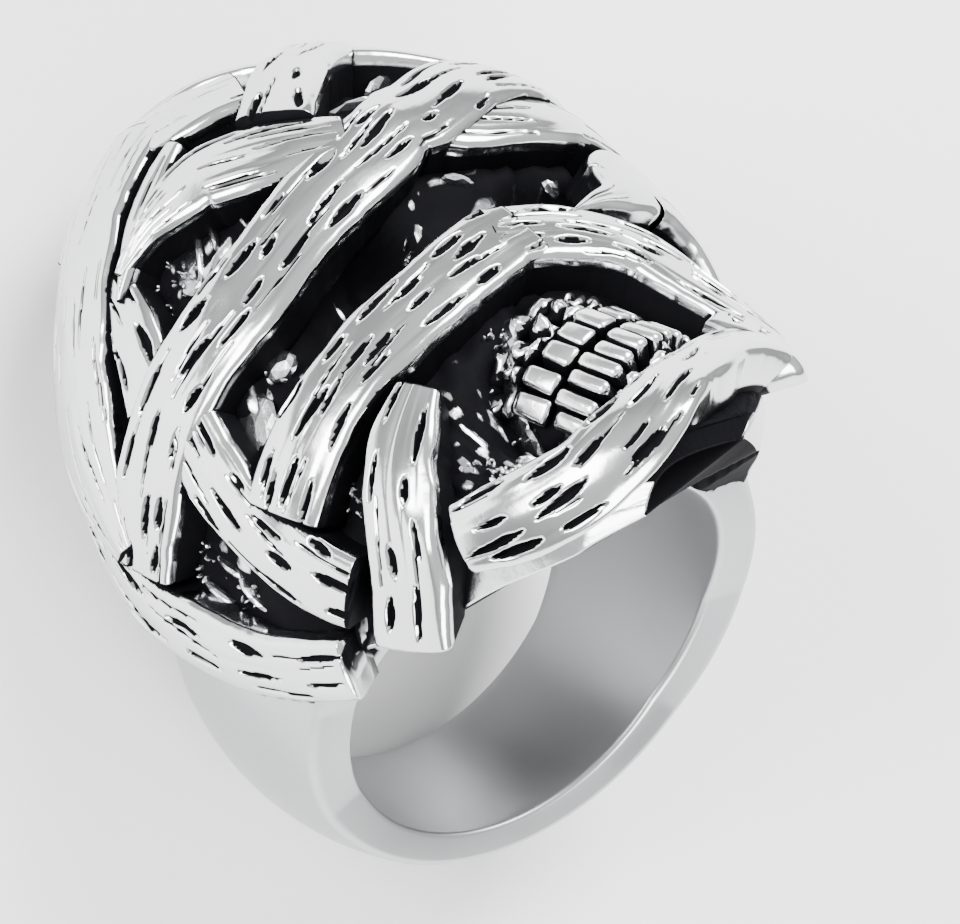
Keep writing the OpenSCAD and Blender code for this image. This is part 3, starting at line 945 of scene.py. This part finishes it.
# Upper and lower row: [y in the mouth, length, lean, count]
TEETH_ROWS = [(1.4, 1.75, 8, 9), (-0.9, 2.1, -8, 12)]
root_narrowing, root_drop = 0.85, 0.2
tooth_bevel = 0.32
tooth_reach = 0.6


def in_mouth(points):
    """Points of the mouth's own frame in the upright ring."""
    t = math.radians(mouth_turn)
    turn = np.array([[math.cos(t), math.sin(t), 0], [-math.sin(t), math.cos(t), 0], [0, 0, 1]])
    return np.asarray(points) @ turn + np.array([mouth_x, mouth_y, mouth_z])


def on_arch(turn, y, height, lean=0):
    """The move that takes a thing from the origin to its place on the jaw's arch."""
    stand = Matrix.Rotation(math.radians(turn), 4, "Y") @ Matrix.Translation((0, y, height))
    return stand @ Matrix.Rotation(math.radians(lean), 4, "X")


def add_tooth(bm, turn, y, length, lean, width):
    """One tooth: a cube, drawn in towards its root and bevelled round."""
    verts = bmesh.ops.create_cube(bm, size=1)["verts"]
    bmesh.ops.scale(bm, vec=(width, length, tooth_h * 2), verts=verts)
    root = math.copysign(1, lean)
    for vert in verts:
        if vert.co.y * root > 0:
            vert.co.x *= root_narrowing
            vert.co.z -= root_drop
    edges = list({e for v in verts for e in v.link_edges})
    verts = bmesh.ops.bevel(bm, geom=edges, offset=tooth_bevel, offset_type="OFFSET", segments=4,
                            profile=0.5, affect="EDGES", material=-1, clamp_overlap=True)["verts"]
    bmesh.ops.transform(bm, matrix=on_arch(turn, y, jaw_r, lean), verts=verts)


def add_teeth(bm, rng):
    """The two rows of teeth, each tooth a little different."""
    for y, length, lean, count in TEETH_ROWS:
        apart = teeth_span / (count - 1)
        room = math.radians(apart) * (jaw_r + tooth_reach)
        for i in range(count):
            turn = i * apart - teeth_span / 2 + rng.uniform(-1.2, 1.2)
            grown, width = length * rng.uniform(0.8, 1.1), room * rng.uniform(0.86, 0.98)
            add_tooth(bm, turn, y + rng.uniform(-0.1, 0.1), grown, lean, width)


print("teeth in the rows:", [count for *_, count in TEETH_ROWS])

# %% [markdown]
# Rows of bony knobs lie beyond the roots, and an egg of bone fills the arch behind the teeth. The
# teeth, the knobs and the egg are one piece, since they were cast together. The teeth are bright,
# and so are most of the knobs and a few tips of the bone.

# %% Bone and jaws
# Knobs beyond the roots: [y in the mouth, length, width, height over the arch, count]
BONE_ROWS = [
    (2.5, 0.75, 1.7, 0.5, 9),
    (3.2, 1.0, 1.5, 0.45, 9),
    (4.0, 0.7, 1.9, 0.3, 7),
    (-2.4, 0.8, 1.3, 0.3, 10),
    (-3.2, 0.7, 1.6, 0.15, 8),
]
bone_span, knob_sink, knob_rise = teeth_span + 10, 0.35, 1.3
egg_half = (jaw_r + 0.2, 4.9, jaw_r)
egg_move = (0, 0.4, -0.4)
jaw_floor = -0.2


def add_bone(bm, rng):
    """The rows of knobs beyond the roots."""
    for y, length, width, height, count in BONE_ROWS:
        for i in range(count):
            turn = (i / (count - 1) - 0.5) * bone_span + rng.uniform(-4, 4)
            size = (width * rng.uniform(0.6, 1.2), length * rng.uniform(0.7, 1.3), knob_rise)
            at_y = y + rng.uniform(-0.25, 0.25)
            verts = bmesh.ops.create_uvsphere(bm, u_segments=16, v_segments=12, radius=0.5)["verts"]
            bmesh.ops.scale(bm, vec=size, verts=verts)
            bmesh.ops.transform(bm, matrix=on_arch(turn, at_y, jaw_r - knob_sink + height), verts=verts)


def add_egg(bm):
    """The rough bone behind the teeth."""
    verts = bmesh.ops.create_uvsphere(bm, u_segments=120, v_segments=80, radius=1)["verts"]
    x, y, z = np.array([v.co for v in verts]).T
    for vert, swell in zip(verts, bumps(x / 0.14 + 9, y / 0.14 + z / 0.2, 31)):
        vert.co *= 1 + 0.06 * float(swell)
    bmesh.ops.scale(bm, vec=egg_half, verts=verts)
    bmesh.ops.translate(bm, vec=egg_move, verts=verts)


def make_jaws():
    """The teeth, the knobs and the bone behind them, as one piece."""
    rng = np.random.default_rng(7)
    bm = new_bmesh()
    add_teeth(bm, rng)
    teeth_end = len(bm.verts)
    add_bone(bm, rng)
    bone = slice(teeth_end, len(bm.verts))
    add_egg(bm)
    points = np.array([v.co for v in bm.verts])
    knobs = bumps(points[:, 0] / 0.45 + points[:, 2] / 0.6, points[:, 1] / 0.4, 33)
    points[bone] *= 1 + 0.05 * knobs[bone, None]
    points[:, 2] = np.maximum(points[:, 2], jaw_floor)
    bright = ramp(bumps(points[:, 0] / 0.5, points[:, 1] / 0.6, 32), 0.45, 0.7)
    bright[:teeth_end] = 1
    bright[bone] = ramp(knobs[bone], -0.6, -0.35)
    set_verts(bm, bm.verts, in_mouth(points), 1 - bright)
    smooth(bm)
    return finished("jaws", bm)


jaws = make_jaws()
fit_out(jaws, "antiqued_steel", "jaws")

# %% [markdown]
# The black finish is put on all over, and then the wheel takes it off wherever it reaches. It
# can't reach into corners: a place is in a corner if much of what it could see, within a wheel's
# reach, is more metal. So each vertex looks about in a fixed set of directions and counts.

# %% What the wheel reaches
wheel_reach = 1.0
look_count = 30
# Rays start this far above the metal, and those that run flatter along it aren't counted
least_lift, least_slope = 0.02, 0.15
# The share of hits at which a place begins to be black, and at which it is black
corner_from, corner_to = 0.16, 0.42
black_already = 0.95


def look_directions(count):
    """Directions spread evenly over a ball, along a spiral."""
    i = np.arange(count) + 0.5
    polar = np.arccos(1 - 2 * i / count)
    turn = math.pi * (1 + math.sqrt(5)) * i
    ball = np.stack([np.cos(turn) * np.sin(polar), np.sin(turn) * np.sin(polar), np.cos(polar)], -1)
    return [Vector(v) for v in ball]


def all_metal(pieces):
    """A tree of all the pieces' faces, for rays to hit."""
    places, faces = [], []
    for piece in pieces:
        first = len(places)
        places += [v.co.copy() for v in piece.data.vertices]
        faces += [[first + i for i in face.vertices] for face in piece.data.polygons]
    return BVHTree.FromPolygons(places, faces)


def blacken_corners(pieces):
    """Blackens the corners of the pieces, and says how many vertices it looked at."""
    metal = all_metal(pieces)
    directions = look_directions(look_count)
    looked = 0
    for piece in pieces:
        for vert, tone in zip(piece.data.vertices, piece.data.attributes[BLACK].data):
            if tone.value > black_already:
                continue
            start = vert.co + vert.normal * (least_lift * MM)
            seen = [d for d in directions if d.dot(vert.normal) > least_slope]
            hits = sum(metal.ray_cast(start, d, wheel_reach * MM)[0] is not None for d in seen)
            share = hits / max(len(seen), 1)
            tone.value = max(tone.value, float(ramp(share, corner_from, corner_to)))
            looked += 1
    return looked


print("vertices looked at:", blacken_corners([band, skull, jaws, *wraps]))

# %% [markdown]
# The camera stands where the photograph's stood to the ring: its turn, tilt and roll, its
# distance and its focal length, in the upright frame.

# %% Camera
view_turn, view_tilt, view_roll = 39.8, 27.4, 5.1
view_distance = 350
focal_px, picture_w = 7605, 960
view_right_mm, view_down_mm = 0.962, -6.314
sensor_mm = 36


def view_axes():
    """The picture's right, down and forward directions in the upright ring."""
    turn, tilt, roll = (math.radians(v) for v in (view_turn, view_tilt, view_roll))
    forward = np.array([math.sin(turn) * math.cos(tilt), math.cos(turn) * math.cos(tilt), -math.sin(tilt)])
    right = unit(np.cross(forward, [0, 0, 1]))
    down = np.cross(forward, right)
    c, s = math.cos(roll), math.sin(roll)
    return c * right - s * down, s * right + c * down, forward


def make_camera():
    """The photograph's camera."""
    right, down, forward = view_axes()
    stand = view_right_mm * right + view_down_mm * down - view_distance * forward
    camera = bpy.data.objects.new("camera", bpy.data.cameras.new("camera"))
    bpy.context.scene.collection.objects.link(camera)
    camera.data.sensor_width = sensor_mm
    camera.data.lens = focal_px / picture_w * sensor_mm
    camera.data.clip_start = 0.01
    columns = np.array([right, -down, -forward]) @ ring_axes
    placed = Matrix(columns.T.tolist()).to_4x4()
    placed.translation = Vector(lay_down(stand))
    camera.matrix_world = placed
    return camera


camera = make_camera()
bpy.context.scene.camera = camera
print("camera at", tuple(round(v, 3) for v in camera.matrix_world.translation))

# %% [markdown]
# The floor is pale and plain, one face of a grid. It is not part of the ring, and rides on no body.

# %% Floor
floor_half = 1.5
floor_tone = (0.93, 0.93, 0.93, 1)


def make_floor():
    """A square floor of one pale colour."""
    bm = bmesh.new()
    bmesh.ops.create_grid(bm, x_segments=1, y_segments=1, size=floor_half)
    piece = finished("floor", bm)
    material = bpy.data.materials.new("floor")
    material.use_nodes = True
    shader = material.node_tree.nodes["Principled BSDF"]
    shader.inputs["Base Color"].default_value = floor_tone
    shader.inputs["Roughness"].default_value = 0.6
    piece.data.materials.append(material)
    return piece


floor = make_floor()

# %% [markdown]
# Polished steel shows its surroundings, so small lamps would only leave hard dots on it. Three
# large soft lamps stand round the ring instead, and the surroundings get paler from the horizon
# to the top, which gives the metal its darker tones.

# %% Light
aim_height = 0.015
# name: (place, size, watts)
LAMPS = {
    "key_light": ((-0.35, -0.45, 0.65), 0.5, 16.0),
    "side_light": ((0.65, -0.25, 0.40), 0.45, 12.0),
    "back_light": ((0.05, 0.70, 0.45), 0.45, 10.0),
}
# Strength of the surroundings at the horizon, and from the height up whose sine is the last value
horizon_strength, high_strength, high_from = 0.4, 1.0, 0.5


def soft_light(name, place, size, watts):
    """A large square lamp that looks at the ring."""
    lamp = bpy.data.lights.new(name, "AREA")
    lamp.size = size
    lamp.energy = watts
    holder = bpy.data.objects.new(name, lamp)
    bpy.context.scene.collection.objects.link(holder)
    holder.location = place
    aim = Vector((0, 0, aim_height)) - Vector(place)
    holder.rotation_euler = aim.to_track_quat("-Z", "Y").to_euler()


def surroundings():
    """White surroundings that are brighter above."""
    world = bpy.data.worlds.new("studio")
    bpy.context.scene.world = world
    world.use_nodes = True
    tree = world.node_tree
    background = tree.nodes["Background"]
    background.inputs["Color"].default_value = (1, 1, 1, 1)
    look = shader_node(tree, "TexCoord", {})
    split = shader_node(tree, "SeparateXYZ", {})
    link(tree, look, "Generated", split, "Vector")
    strength = shader_node(tree, "MapRange", {
        "From Max": high_from, "To Min": horizon_strength, "To Max": high_strength})
    link(tree, split, "Z", strength, "Value")
    link(tree, strength, "Result", background, "Strength")


for name, row in LAMPS.items():
    soft_light(name, *row)
surroundings()
print("lamps:", ", ".join(LAMPS))
